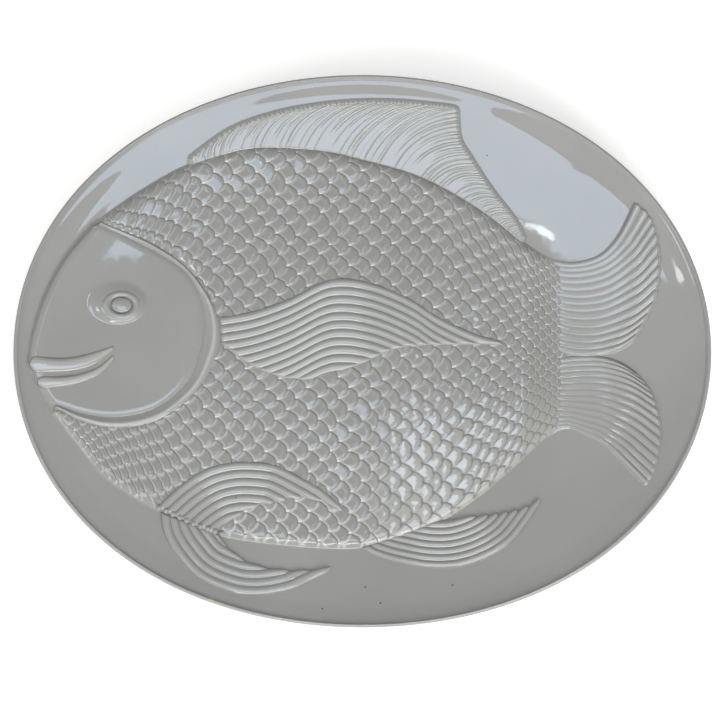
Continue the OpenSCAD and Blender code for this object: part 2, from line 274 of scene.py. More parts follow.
# Foot ring: the low oval ring that the platter stands on, trimmed from the same clay.
# It is wiped bare of glaze before firing, and its lower edges are worn round.
foot_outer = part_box("foot_ring")[1].x
foot_band = 8 * mm
foot_inner = foot_outer - foot_band
foot_round = 1.6 * mm
foot_sink = 0.4 * mm
foot_steps = 192
bare_clay_color = (0.70, 0.62, 0.48, 1)
bare_clay_dark = (0.52, 0.43, 0.31, 1)
clay_grain_scale = 260
clay_bump = 0.4
clay_bump_h = 0.3 * mm


def bare_clay():
    """Fired clay without glaze: cream, speckled and matte, rough to the touch."""
    material = bpy.data.materials.new("bare_clay")
    material.use_nodes = True
    nodes, links = material.node_tree.nodes, material.node_tree.links
    shader = nodes["Principled BSDF"]
    shader.inputs["Roughness"].default_value = 0.85
    where = nodes.new("ShaderNodeTexCoord")
    grain = nodes.new("ShaderNodeTexNoise")
    grain.inputs["Scale"].default_value = clay_grain_scale
    grain.inputs["Detail"].default_value = 6
    links.new(where.outputs["Object"], grain.inputs["Vector"])
    tone = nodes.new("ShaderNodeValToRGB")
    tone.color_ramp.elements[0].position = 0.32
    tone.color_ramp.elements[0].color = bare_clay_dark
    tone.color_ramp.elements[1].position = 0.6
    tone.color_ramp.elements[1].color = bare_clay_color
    links.new(grain.outputs["Fac"], tone.inputs["Fac"])
    links.new(tone.outputs["Color"], shader.inputs["Base Color"])
    rough = nodes.new("ShaderNodeBump")
    rough.inputs["Strength"].default_value = clay_bump
    rough.inputs["Distance"].default_value = clay_bump_h
    links.new(grain.outputs["Fac"], rough.inputs["Height"])
    links.new(rough.outputs["Normal"], shader.inputs["Normal"])
    return material


section = [(r, dish_height(r, 0) - wall_t + foot_sink) for r in np.linspace(foot_inner, foot_outer, 5)]
section += [(foot_outer - foot_round * (1 - math.cos(a)), foot_round * (1 - math.sin(a))) for a in quarter]
section += [(foot_inner + foot_round * (1 - math.sin(a)), foot_round * (1 - math.cos(a))) for a in quarter]
section.append(section[0])
foot = spin_section("foot_ring_band", section, oval, foot_steps)
foot.data.materials.append(bare_clay())
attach(foot, "root")
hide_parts("foot_ring")

# Fish body: the domed side of the fish, modelled in clay with rows of overlapping scales.
# Each scale is a flat shingle with a round free edge that points to the tail. Low on the belly, towards the
# tail, the scales stand apart like flat pebbles.
body_edge_h = 1.7 * mm
body_dome_h = 3.8 * mm
body_skirt = 2.2 * mm
dome_middle_share = (-0.150, 0.030)
dome_reach_share = (0.820, 0.760)
scale_h = 1.1 * mm
scale_unit = 6 * mm
scale_cut_shares = np.array([0, 0.05, 0.12, 0.24, 0.62, 0.86, 0.95, 1])
scale_overrun = 8 * mm
scale_wander = 0.24
scale_lean_range = (0.8, 1.2)
scale_tilt_range = (-0.16, 0.16)
scale_lift_range = (-0.1, 0.1)
scale_wall_share = 0.14
scale_crease_share = 0.05
scale_line_share = 0.12
scale_line_fade = 0.1
# The light lines are a painted highlight, stronger towards the belly; the two darkenings after them are
# painted shade over the scale faces and in the creases.
scale_line_back = 0.34
scale_line_belly = 0.72
scale_line_turn = 1.5
scale_face_shade = 0.3
scale_crease_pool_and_shade = 0.8
scale_front_shares = (-0.42, -0.82)
scale_tail_shares = (0.2, 0.62)
small_front_scale = 0.56
small_tail_scale = 0.48
small_scale_power = 0.6
pebble_x = -10 * mm
pebble_y = -8 * mm
pebble_run = 40 * mm
pebble_lean = 0.45
pebble_dome = 0.14
pebble_wall_share = 0.1
pebble_drop = 1.4
pebble_crease_share = 0.12
pebble_rim_share = 0.14
pebble_face_share = 0.05
pebble_face_fade = 0.1
# Painted reflection: the pebbles' faces are lightened.
pebble_face_highlight = 0.7
tail_root_rise = 0.1
tail_root_x = 117 * mm
tail_root_run = 26 * mm
edge_bead = 0.5
edge_bead_w = 1.6 * mm
edge_roll_h = 1.3 * mm
back_roll_w = 4.4 * mm
belly_roll_w = 1.6 * mm
roll_turn = 3
soft_flare = 0.7
trim_snap = 0.08 * mm
under_gill_share = 0.35
skirt_rings = 5
skirt_dip = 0.06 * mm
# Painted shade in the fillet at each skirt's foot, partly glaze pooled there.
skirt_fillet_pool_and_shade = 0.6
sole_depth = 0.7 * mm
merge_gap = 0.01 * mm
hard_edge = math.radians(62)
curve_steps = 200
points_at_once = 4000
gill_outer_shares = [(-0.878, -0.205), (-0.863, -0.213), (-0.814, -0.245), (-0.740, -0.270),
                     (-0.663, -0.270), (-0.586, -0.245), (-0.520, -0.191), (-0.463, -0.119),
                     (-0.426, -0.033), (-0.409, 0.039), (-0.414, 0.122), (-0.443, 0.205),
                     (-0.511, 0.313), (-0.597, 0.385), (-0.676, 0.428), (-0.752, 0.464)]
gill_inner_shares = [(-0.874, -0.194), (-0.797, -0.223), (-0.729, -0.234), (-0.663, -0.227),
                     (-0.597, -0.202), (-0.540, -0.155), (-0.491, -0.083), (-0.468, 0.003),
                     (-0.457, 0.075), (-0.457, 0.133), (-0.468, 0.212), (-0.503, 0.284),
                     (-0.553, 0.333), (-0.607, 0.372), (-0.680, 0.417), (-0.758, 0.456)]
belly_shares = [(-0.880, -0.214), (-0.751, -0.418), (-0.666, -0.501), (-0.574, -0.562), (-0.477, -0.616),
                (-0.406, -0.648), (-0.280, -0.673), (-0.117, -0.691), (-0.003, -0.690), (0.091, -0.663),
                (0.206, -0.605), (0.289, -0.544), (0.369, -0.468), (0.449, -0.382), (0.503, -0.317),
                (0.545, -0.278), (0.590, -0.262), (0.620, -0.272)]
back_shares = [(-0.754, 0.470), (-0.640, 0.571), (-0.509, 0.665), (-0.377, 0.722), (-0.280, 0.740),
               (-0.117, 0.729), (-0.014, 0.701), (0.151, 0.643), (0.283, 0.560), (0.380, 0.478),
               (0.451, 0.406), (0.508, 0.357), (0.548, 0.334), (0.595, 0.323)]
tail_root_shares = [(0.620, -0.272), (0.604, -0.235), (0.594, -0.160), (0.590, -0.060), (0.590, 0.020),
                    (0.588, 0.120), (0.586, 0.230), (0.588, 0.295), (0.595, 0.323)]


def lerp(a, b, t):
    return a + (b - a) * t


def smooth(x):
    """Soft step from 0 to 1."""
    x = np.clip(x, 0, 1)
    return x * x * (3 - 2 * x)


def unit(vectors):
    return vectors / np.maximum(np.linalg.norm(vectors, axis=-1, keepdims=True), 1e-12)


def flow(shares, t):
    """Points of a smooth curve through a row of plan shares, for t from 0 to 1."""
    row = np.array(shares) * (half_len, half_w)
    last = len(row) - 1
    t = np.asarray(t, float) * last
    k = np.clip(np.floor(t).astype(int), 0, last - 1)
    f = (t - k)[..., None]
    a, b, c, d = row[np.maximum(k - 1, 0)], row[k], row[k + 1], row[np.minimum(k + 2, last)]
    return (b + (c - a) * f / 2 + (2 * a - 5 * b + 4 * c - d) * f ** 2 / 2
            + (3 * (b - c) + d - a) * f ** 3 / 2)


def even_flow(rows, t):
    """Points at even distances along one or more smooth curves laid end to end."""
    path = np.concatenate([flow(row, np.linspace(0, 1, curve_steps)) for row in rows])
    walk = np.concatenate([[0], np.cumsum(np.linalg.norm(np.diff(path, axis=0), axis=1))])
    walk /= walk[-1]
    return np.stack([np.interp(t, walk, path[:, k]) for k in (0, 1)], axis=-1)


def fish_rise(x, y):
    """Height of the fish's dome above the dish."""
    q = (((x / half_len - dome_middle_share[0]) / dome_reach_share[0]) ** 2
         + ((y / half_w - dome_middle_share[1]) / dome_reach_share[1]) ** 2)
    return body_edge_h + body_dome_h * np.clip(1 - q, 0, 1)


def flat_sheet(name, columns, rows):
    """A flat grid, and the shares u and v of its width and length at each vertex."""
    bpy.ops.mesh.primitive_grid_add(x_subdivisions=columns, y_subdivisions=rows, size=1)
    piece = start_piece(name)
    u, v = vertex_places(piece)[:, :2].T + 0.5
    return piece, u, v


def to_outline(points, outline):
    """How deep each plan point lies inside a closed outline, and the nearest point of the outline."""
    step = np.roll(outline, -1, axis=0) - outline
    depth, nearest = np.empty(len(points)), np.empty_like(points)
    for first in range(0, len(points), points_at_once):
        some = slice(first, first + points_at_once)
        p = points[some, None]
        along = np.clip(((p - outline) * step).sum(axis=2) / (step ** 2).sum(axis=1), 0, 1)
        foot = outline + step * along[..., None]
        gap = ((p - foot) ** 2).sum(axis=2)
        best = gap.argmin(axis=1)
        row = np.arange(len(best))
        nearest[some] = foot[row, best]
        x, y = points[some, :1], points[some, 1:]
        over = (outline[:, 1] > y) != (outline[:, 1] + step[:, 1] > y)
        rise = np.where(step[:, 1] == 0, 1, step[:, 1])
        crossed = over & (x < outline[:, 0] + step[:, 0] * (y - outline[:, 1]) / rise)
        depth[some] = np.sqrt(gap[row, best]) * np.where(crossed.sum(axis=1) % 2, 1, -1)
    return depth, nearest


def trim_sheet(piece, outline):
    """Cuts a flat sheet along a closed outline and keeps what lies inside it. Gives the plan, the own z
    and the depth behind the outline of the vertices that stay."""
    places = vertex_places(piece)
    close = ((places[:, :2] > outline.min(axis=0) - scale_unit)
             & (places[:, :2] < outline.max(axis=0) + scale_unit)).all(axis=1)
    depth, nearest = np.full(len(places), -1.0), places[:, :2].copy()
    depth[close], nearest[close] = to_outline(places[close, :2], outline)
    on = np.abs(depth) < trim_snap
    places[on, :2] = nearest[on]
    depth[on] = 0
    set_vertex_places(piece, places)
    sheet = bmesh.new()
    sheet.from_mesh(piece.data)
    points = list(sheet.verts)
    cut = {points[k] for k in np.flatnonzero(on)}
    for edge in [e for e in sheet.edges if depth[e.verts[0].index] * depth[e.verts[1].index] < 0]:
        first, last = edge.verts
        share = depth[first.index] / (depth[first.index] - depth[last.index])
        cut.add(bmesh.utils.edge_split(edge, first, share)[1])
    for face in {f for point in cut for f in point.link_faces}:
        ring = list(face.verts)
        marks = [k for k, point in enumerate(ring) if point in cut]
        for k, after in zip(marks, marks[1:] + [marks[0] + len(ring)]):
            between = [ring[m % len(ring)] for m in range(k + 1, after)]
            if 0 < len(between) < len(ring) - 2 and all(depth[point.index] < 0 for point in between):
                a, b = ring[k], ring[after % len(ring)]
                shared = [f for f in a.link_faces if f in set(b.link_faces)]
                bmesh.utils.face_split(shared[0], a, b)
    outer = [f for f in sheet.faces if any(p not in cut and depth[p.index] < 0 for p in f.verts)]
    bmesh.ops.delete(sheet, geom=outer, context="FACES")
    sheet.to_mesh(piece.data)
    sheet.free()
    places = vertex_places(piece)
    return places[:, :2], places[:, 2], np.abs(to_outline(places[:, :2], outline)[0])


def way_out(piece, plan):
    """For each vertex on the open border of a flat sheet, the direction that leads out of it."""
    data = piece.data
    corner, side = np.empty(len(data.loops), np.int32), np.empty(len(data.loops), np.int32)
    ends = np.empty(len(data.edges) * 2, np.int32)
    data.loops.foreach_get("vertex_index", corner)
    data.loops.foreach_get("edge_index", side)
    data.edges.foreach_get("vertices", ends)
    ends = ends.reshape(-1, 2)
    open_side = np.bincount(side, minlength=len(ends))[side] == 1
    start = corner[open_side]
    stop = ends[side[open_side]].sum(axis=1) - start
    ahead = plan[stop] - plan[start]
    normal = np.stack([ahead[:, 1], -ahead[:, 0]], axis=1)
    area = (plan[start, 0] * plan[stop, 1] - plan[stop, 0] * plan[start, 1]).sum()
    way = np.zeros_like(plan)
    np.add.at(way, start, normal)
    np.add.at(way, stop, normal)
    return np.unique(start), unit(way) * np.sign(area)


def mark(piece, name, values):
    """Keeps one number for each vertex, for the material or a later step to read."""
    layer = piece.data.attributes.new(name, "FLOAT", "POINT")
    layer.data.foreach_set("value", np.ascontiguousarray(values, dtype=np.float32))


def taken(piece, name):
    """Takes such numbers back off the piece."""
    layer = piece.data.attributes[name]
    values = np.empty(len(layer.data), np.float32)
    layer.data.foreach_get("value", values)
    piece.data.attributes.remove(layer)
    return values


def picked_vertices(piece):
    picked = np.empty(len(piece.data.vertices), bool)
    piece.data.vertices.foreach_get("select", picked)
    return np.flatnonzero(picked)


def round_off(x):
    """Drop of a rounded edge: 1 at the edge, falling to 0 at x = 1."""
    return (1 - np.clip(x, 0, 1)) ** 2


def lay_relief(piece, plan, height, pool_and_shade, thin_and_highlight, skirt, flare=0):
    """Raises a flat sheet above the dish, rolls its open border down in a skirt and closes it with a
    sole that is sunk into the clay. Each vertex has its own height and its own darkening and lightening of
    the glaze, partly pooled and thinned glaze, partly painted shade and painted highlight. The skirt falls
    from a shoulder, or with flare 1 at once, to end in a soft fillet that is darkened with painted shade."""
    set_vertex_places(piece, np.column_stack([plan, np.zeros(len(plan))]))
    border, way = way_out(piece, plan)
    border = border[np.lexsort(plan[border].T)]
    source, ring = np.arange(len(plan)), np.zeros(len(plan))
    bpy.ops.object.mode_set(mode="EDIT")
    bpy.ops.mesh.select_mode(type="EDGE")
    bpy.ops.mesh.select_all(action="DESELECT")
    bpy.ops.mesh.select_non_manifold(use_wire=False, use_multi_face=False, use_non_contiguous=False,
                                     use_verts=False)
    for step in range(skirt_rings):
        bpy.ops.mesh.extrude_edges_move()
        bpy.ops.object.mode_set(mode="OBJECT")
        new = picked_vertices(piece)
        new = new[np.lexsort(vertex_places(piece)[new, :2].T)]
        source = np.append(source, np.zeros(len(new), int))
        ring = np.append(ring, np.full(len(new), step + 1.0))
        source[new] = border
        bpy.ops.object.mode_set(mode="EDIT")
    bpy.ops.object.mode_set(mode="OBJECT")
    far = ring / skirt_rings
    fall = lerp((1 + np.cos(math.pi * far)) / 2, round_off(far), flare)
    plan = plan[source] + way[source] * (skirt * far)[:, None]
    base = dish_height(*plan.T) - skirt_dip
    set_vertex_places(piece, np.column_stack([plan, base + (height[source] + skirt_dip) * fall]))
    # The fillet at the skirt's foot is darkened: painted shade in the corner, partly glaze pooled there.
    fillet = skirt_fillet_pool_and_shade * smooth(far * 2 - 0.9) * (far < 1)
    mark(piece, "pool_and_shade", np.clip(pool_and_shade[source] * fall + fillet, 0, 1))
    mark(piece, "thin_and_highlight", np.clip(thin_and_highlight[source] * fall, 0, 1))
    bpy.ops.object.mode_set(mode="EDIT")
    bpy.ops.mesh.select_all(action="SELECT")
    bpy.ops.mesh.remove_doubles(threshold=merge_gap)
    bpy.ops.mesh.select_all(action="SELECT")
    bpy.ops.mesh.extrude_region_move(TRANSFORM_OT_translate={"value": (0, 0, -sole_depth)})
    bpy.ops.object.mode_set(mode="OBJECT")
    low = picked_vertices(piece)
    places = vertex_places(piece)
    places[low, 2] = dish_height(places[low, 0], places[low, 1]) - sole_depth
    set_vertex_places(piece, places)
    bpy.ops.object.mode_set(mode="EDIT")
    bpy.ops.mesh.select_all(action="SELECT")
    bpy.ops.mesh.normals_make_consistent(inside=False)
    bpy.ops.object.mode_set(mode="OBJECT")
    bpy.ops.object.shade_smooth_by_angle(angle=hard_edge)


def glazed(piece, node):
    """Gives a clay form its glaze, and sets it on the platter in place of its plain solid."""
    piece.data.materials.append(glaze)
    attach(piece, "root")
    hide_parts(node)


def scale_size(x):
    """Size of the scales along the body: full in the middle, small at the nape and at the tail."""
    share = x / half_len
    front = smooth((share - scale_front_shares[0]) / (scale_front_shares[1] - scale_front_shares[0]))
    tail = smooth((share - scale_tail_shares[0]) / (scale_tail_shares[1] - scale_tail_shares[0]))
    return lerp(1, small_front_scale, front) * lerp(1, small_tail_scale, tail)


def scale_sheet(name, outline):
    """A flat sheet of scales over an outline: a grid turned to diamonds, each of them bent to a scale
    with a round free edge. Its z keeps the height of the shingles, from about -1 to 1, and two marks keep
    where the glaze is darkened in creases and round the pebbles, partly pooled glaze and partly painted
    shade, and where it is lightened along the scales' fronts, partly thinned glaze and partly a painted
    highlight, and over the pebbles' faces, a painted reflection."""
    axis = dome_middle_share[1] * half_w
    spots = np.linspace(outline[:, 0].min() - scale_overrun, outline[:, 0].max() + scale_overrun, 2000)
    walk = np.cumsum(1 / (scale_unit * scale_size(spots))) * (spots[1] - spots[0])
    across = (outline[:, 1] - axis) / (scale_unit * scale_size(outline[:, 0]))
    columns, rows = math.ceil(walk[-1]), math.ceil(np.ptp(across)) + 4
    tiles, cuts = (columns + rows) // 2 + 1, len(scale_cut_shares) - 1
    piece, u, v = flat_sheet(name, tiles * cuts, tiles * cuts)
    index = np.round(np.stack([u, v], axis=1) * tiles * cuts).astype(int)
    tile = index // cuts
    s, t = scale_cut_shares[index % cuts].T
    turn_s, turn_t = s * math.pi / 2, t * math.pi / 2
    own_x, own_y = np.sin(turn_s) + np.sin(turn_t) - 1, np.cos(turn_s) - np.cos(turn_t)
    free = np.where(own_x >= 0, 1 - np.hypot(own_x, own_y), np.hypot(own_x, 1 - np.abs(own_y)))
    rng = np.random.default_rng(7)
    lean, tilt, lift = (rng.uniform(*span, (tiles + 1, tiles + 1))[tile[:, 0], tile[:, 1]]
                        for span in (scale_lean_range, scale_tilt_range, scale_lift_range))
    a = tile[:, 0] + tile[:, 1] - rows / 2 + own_x
    b = tile[:, 1] - tile[:, 0] + across.min() - 2 + rows / 2 + own_y
    drift = rng.uniform(-scale_wander, scale_wander, (2, columns + rows, columns + rows))
    cell_a = np.clip(a / 2 + 2, 0, columns + rows - 2)
    cell_b = np.clip(b / 2 + rows / 2, 0, columns + rows - 2)
    i, j = cell_a.astype(int), cell_b.astype(int)
    f, g = smooth(cell_a - i), smooth(cell_b - j)
    a, b = (along + lerp(lerp(d[i, j], d[i + 1, j], f), lerp(d[i, j + 1], d[i + 1, j + 1], f), g)
            for along, d in zip((a, b), drift))
    x = np.interp(a, walk, spots)
    y = axis + b * scale_unit * scale_size(x)
    pebble = smooth((x - pebble_x) / pebble_run) * smooth((pebble_y - y) / pebble_run)
    wall = lerp(scale_wall_share, pebble_wall_share, pebble)
    drop = (1 - np.sqrt(1 - round_off(free / wall))) * lerp(1, pebble_drop, pebble)
    height = own_x * lerp(lean, pebble_lean * (lean + 1) / 2, pebble) + tilt * own_y + lift - drop
    height -= pebble * (pebble_dome * own_y ** 2)
    set_vertex_places(piece, np.column_stack([x, y, height]))
    front = np.minimum(s, t)
    # Painted shade: a dark line in each scale's root and a dark rim round each pebble, partly glaze pooled
    # in the crease.
    crease = 1 - smooth(front / lerp(scale_crease_share, pebble_crease_share, pebble))
    mark(piece, "crease", np.maximum(crease, pebble * (1 - smooth(free / pebble_rim_share))))
    # Painted highlight: a light band along each scale's front, partly glaze thinned there; on the pebbles a
    # lighter face is a painted reflection.
    line = 1 - smooth((front - scale_line_share) / scale_line_fade)
    face = pebble_face_highlight * smooth((free - pebble_face_share) / pebble_face_fade)
    mark(piece, "edge", lerp(line, face, pebble))
    return piece


forwards = np.linspace(0, 1, 80, endpoint=False)
backwards = 1 - forwards
gill_line = lerp(even_flow([gill_outer_shares], backwards), even_flow([gill_inner_shares], backwards),
                 under_gill_share)
body_outline = np.concatenate([even_flow([belly_shares], forwards),
                               even_flow([tail_root_shares], forwards[::3]),
                               even_flow([back_shares], backwards), gill_line])
body = scale_sheet("fish_body_scales", body_outline)
plan, scale, depth = trim_sheet(body, body_outline)
crease, edge = taken(body, "crease"), taken(body, "edge")
relief = scale_h * lerp(edge_bead, (scale + 1) / 2, smooth(depth / edge_bead_w))
relief *= scale_size(plan[:, 0]) ** small_scale_power
taper = lerp(tail_root_rise, 1, smooth((tail_root_x - plan[:, 0]) / tail_root_run))
roll_w = lerp(belly_roll_w, back_roll_w, smooth(plan[:, 1] / half_w * roll_turn + 0.5))
height = (fish_rise(*plan.T) - edge_roll_h * round_off(depth / roll_w)) * taper + relief * np.sqrt(taper)
# The light bands are stronger towards the belly, where the light falls: a painted highlight. The scale
# faces are darkened all over with painted shade, and the creases more, partly pooled glaze.
edge *= lerp(scale_line_back, scale_line_belly, smooth(-scale_line_turn * plan[:, 1] / half_w))
pool_and_shade = lerp(scale_face_shade * (1 - edge), scale_crease_pool_and_shade, crease)
lay_relief(body, plan, height, pool_and_shade, edge, body_skirt, flare=soft_flare)
glazed(body, "fish_body")

# Fish head: the smooth cheek and snout, one pad of clay with a rounded edge.
# It stands above the foot of the gill band behind it, and its face rolls down to the dish.
head_columns = 72
head_rows = 120
head_cheek_h = 1 * mm
head_roll_h = 0.75 * mm
head_roll_w = 3.6 * mm
head_skirt = 2 * mm
face_shares = [(-0.884, -0.190), (-0.914, -0.137), (-0.940, -0.066), (-0.949, -0.015), (-0.940, 0.057),
               (-0.906, 0.193), (-0.849, 0.330), (-0.770, 0.450)]


def cheek_rise(x, y):
    """Height of the cheek above the dish."""
    return fish_rise(x, y) + head_cheek_h


head, u, v = flat_sheet("fish_head_cheek", head_columns, head_rows)
across = (1 - np.cos(math.pi * u)) / 2
plan = lerp(even_flow([face_shares], v), even_flow([gill_inner_shares], v), across[:, None])
head_outline = np.concatenate([even_flow([face_shares], forwards),
                               even_flow([gill_inner_shares], backwards)])
drop = head_roll_h * round_off(np.abs(to_outline(plan, head_outline)[0]) / head_roll_w)
lay_relief(head, plan, cheek_rise(*plan.T) - drop, 0 * u, 0 * u, head_skirt, flare=soft_flare)
glazed(head, "fish_head")

# Gill cover: the band behind the cheek, a strip of clay with a rounded crest.
# It climbs from the cheek's foot to its crest, drops to the first scales and dies out at the nape.
gill_columns = 30
gill_rows = 200
gill_foot_h = 0.3 * mm
gill_crest_h = 1.5 * mm
gill_crest_share = 0.66
gill_fall_h = 1 * mm
gill_nape_h = 0.5 * mm
gill_nape_share = 0.35
gill_skirt = 1.6 * mm
# Painted shade at the cheek's foot and a painted highlight along the crest, partly pooled and thinned
# glaze.
gill_foot_pool_and_shade = 0.3
gill_crest_thin_and_highlight = 0.4
gill, u, v = flat_sheet("gill_cover_band", gill_columns, gill_rows)
plan = lerp(even_flow([gill_inner_shares], v), even_flow([gill_outer_shares], v), u[:, None])
drop = np.clip((u - gill_crest_share) / (1 - gill_crest_share), 0, 1)
crest = lerp(gill_foot_h, gill_crest_h, smooth(u / gill_crest_share)) - gill_fall_h * drop ** 2
crest = lerp(gill_nape_h, crest, smooth((1 - v) / gill_nape_share))
# Painted shade at the foot of the band and a painted highlight along its crest.
pool_and_shade = gill_foot_pool_and_shade * (1 - smooth(u * 4))
thin_and_highlight = gill_crest_thin_and_highlight * smooth(1 - np.abs(u - gill_crest_share) * 5)
lay_relief(gill, plan, fish_rise(*plan.T) + crest, pool_and_shade, thin_and_highlight, gill_skirt, flare=soft_flare)
glazed(gill, "gill_cover")

# Lips: two soft rolls of clay pressed on the snout, with the line of the mouth between them.
# Both have a round end at the face and taper to the corner of the mouth on the cheek.
lip_columns = 90
lip_rows = 16
lip_roll_h = 2 * mm
lip_front_h = 0.8 * mm
lip_skirt = 0.8 * mm
lip_sink = 0.2 * mm
lip_end_share = 0.09
lip_end_width = 0.02
lip_end_height = 0.5
lip_front_share = 0.3
lip_corner_height = 0.45
# Painted highlight along each lip's crown, partly thinned glaze.
lip_crown_thin_and_highlight = 0.32
lip_shares = {
    "upper_lip": (
        [(-0.951, -0.078), (-0.877, -0.079), (-0.817, -0.069), (-0.763, -0.044), (-0.716, 0.004)],
        [(-0.951, -0.016), (-0.891, -0.024), (-0.837, -0.022), (-0.777, -0.004), (-0.716, 0.021)]),
    "lower_lip": (
        [(-0.927, -0.137), (-0.863, -0.131), (-0.809, -0.115), (-0.751, -0.082), (-0.713, -0.030)],
        [(-0.930, -0.090), (-0.869, -0.091), (-0.811, -0.081), (-0.757, -0.055), (-0.716, -0.012)])}


def roll(x):
    """Round section of a roll of clay, for x from 0 to 1."""
    return np.sqrt(np.clip(1 - (2 * x - 1) ** 2, 0, 1))


for node, (low, high) in lip_shares.items():
    lip, u, v = flat_sheet(node + "_roll", lip_columns, lip_rows)
    along = u ** 1.5
    end = np.sqrt(1 - (1 - np.clip(along / lip_end_share, 0, 1)) ** 2)
    across = (1 - np.cos(math.pi * v)) / 2
    top = roll(across)
    across = 0.5 + (across - 0.5) * np.maximum(end, lip_end_width)
    plan = lerp(even_flow([low], along), even_flow([high], along), across[:, None])
    tall = lerp(lip_front_h, lip_roll_h, smooth(along / lip_front_share))
    tall *= lerp(1, lip_corner_height, along)
    height = cheek_rise(*plan.T) - lip_sink + tall * top * lerp(lip_end_height, 1, end)
    # Painted shade along the roll's edges and at its foot, partly pooled glaze; a painted highlight along
    # its crown, partly thinned glaze.
    lay_relief(lip, plan, height, 1 - smooth(top * 1.5), lip_crown_thin_and_highlight * smooth(top * 3 - 2), lip_skirt)
    glazed(lip, node)

# Eye: a raised ring on a soft swelling of the cheek, with a domed button for the pupil.
# Ring and button are shaped separately and pressed on before the glaze.
eye_share = (-0.691, 0.168)
eye_len = 22 * mm
eye_w = 16.5 * mm
eye_band = 4.4 * mm
eye_ring_h = 1.2 * mm
eye_swell = 19 * mm
eye_swell_h = 0.9 * mm
eye_swell_shift = (-2.6 * mm, 2 * mm)
pupil_r = 5.8 * mm
pupil_h = 1.5 * mm
pupil_power = 0.6
eye_dip = 0.4 * mm
eye_steps = 96
pupil_steps = 64
eye_x, eye_y = eye_share[0] * half_len, eye_share[1] * half_w


def set_on_cheek(piece, lean):
    """Moves a turned piece to the eye and lets it follow the cheek."""
    places = vertex_places(piece)
    places[:, 0] += eye_x + lean * eye_swell_shift[0]
    places[:, 1] += eye_y + lean * eye_swell_shift[1]
    places[:, 2] += dish_height(*places[:, :2].T) + cheek_rise(*places[:, :2].T)
    set_vertex_places(piece, places)


ring_mid = (eye_len - eye_band) / 2
ring_in, ring_out = ring_mid - eye_band / 2, ring_mid + eye_band / 2
section = [(0, eye_swell_h)] + [(ring_in * x, eye_swell_h) for x in (0.4, 0.8)]
section += [(ring_mid - eye_band / 2 * math.cos(a), eye_swell_h + eye_ring_h * math.sin(a))
            for a in np.linspace(0, math.pi * 0.9, 15)]
foot_r, foot_z = section[-1]
section += [(lerp(foot_r, eye_swell, x), foot_z * (1 - smooth(x)) ** 1.5 - 0.03 * mm * x)
            for x in np.linspace(0, 1, 16)[1:]]
section += [(eye_swell, -eye_dip), (0, -eye_dip)]
eye_ring = spin_section("eye_rim_ring", section, eye_w / eye_len, eye_steps)
places = vertex_places(eye_ring)
far = np.hypot(places[:, 0], places[:, 1] * eye_len / eye_w)
set_on_cheek(eye_ring, smooth((far - ring_out) / (eye_swell - ring_out)))
glazed(eye_ring, "eye_rim")

section = [(pupil_r * math.sin(a), eye_swell_h + pupil_h * math.cos(a) ** pupil_power)
           for a in np.linspace(0, 1.5, 16)]
section += [(pupil_r, eye_swell_h - eye_dip), (0, eye_swell_h - eye_dip)]
pupil = spin_section("pupil_button", section, eye_w / eye_len, pupil_steps)
set_on_cheek(pupil, 0)
glazed(pupil, "pupil")

# Dorsal fin: the long thin fin along the back, a sheet of clay combed with a needle.
# The combed lines start at the back or part way out, bend towards the tail and run over the edge.
dorsal_rays = 112
dorsal_ray_columns = 6
dorsal_rows = 22
dorsal_h = 1.1 * mm
dorsal_groove = 0.26 * mm
dorsal_skirt = 3.4 * mm
dorsal_lean_share = 0.46
dorsal_bow_share = 0.13
dorsal_line_w = 0.3
dorsal_start_range = (-0.5, 0.45)
dorsal_start_run = 0.3
dorsal_deep_range = (0.25, 1)
dorsal_stray_range = (-0.3, 0.3)
dorsal_edge_share = 0.8
dorsal_edge_run = 0.15
# Painted shade in the combed lines and a painted highlight on the face between them, partly pooled and
# thinned glaze.
dorsal_line_pool_and_shade = 0.4
dorsal_face_thin_and_highlight = 0.2
dorsal_base_shares = [(-0.486, 0.684), (-0.377, 0.732), (-0.280, 0.750), (-0.117, 0.739), (-0.014, 0.711),
                      (0.151, 0.653), (0.283, 0.570), (0.380, 0.488), (0.460, 0.405)]
dorsal_edge_shares = [(-0.490, 0.700), (-0.377, 0.800), (-0.249, 0.858), (-0.117, 0.890), (0.000, 0.902),
                      (0.110, 0.900), (0.217, 0.888), (0.266, 0.880)]
dorsal_rear_shares = [(0.266, 0.880), (0.274, 0.776), (0.309, 0.701), (0.366, 0.593), (0.431, 0.488),
                      (0.460, 0.420)]
dorsal, u, v = flat_sheet("dorsal_fin_comb", dorsal_rays * dorsal_ray_columns, dorsal_rows)
start = even_flow([dorsal_base_shares], u)
across = even_flow([dorsal_edge_shares, dorsal_rear_shares], u + dorsal_lean_share * u * (1 - u)) - start
bow = np.stack([-across[:, 1], across[:, 0]], axis=1) * dorsal_bow_share
plan = start + across * v[:, None] + bow * (4 * v * (1 - v))[:, None]
rng = np.random.default_rng(3)
nearest = np.round(u * dorsal_rays).astype(int)
first, deep, stray = (rng.uniform(*span, dorsal_rays + 2)[nearest]
                      for span in (dorsal_start_range, dorsal_deep_range, dorsal_stray_range))
line = 1 - smooth(np.abs(u * dorsal_rays - nearest - stray * smooth(v * 3)) / dorsal_line_w)
line = line * np.maximum(smooth((v - first) / dorsal_start_run) * deep,
                         smooth((v - dorsal_edge_share) / dorsal_edge_run))
# Painted shade in the combed lines and a painted highlight between them.
lay_relief(dorsal, plan, dorsal_h - dorsal_groove * line, dorsal_line_pool_and_shade * line, dorsal_face_thin_and_highlight * (1 - line),
           dorsal_skirt)
glazed(dorsal, "dorsal_fin")

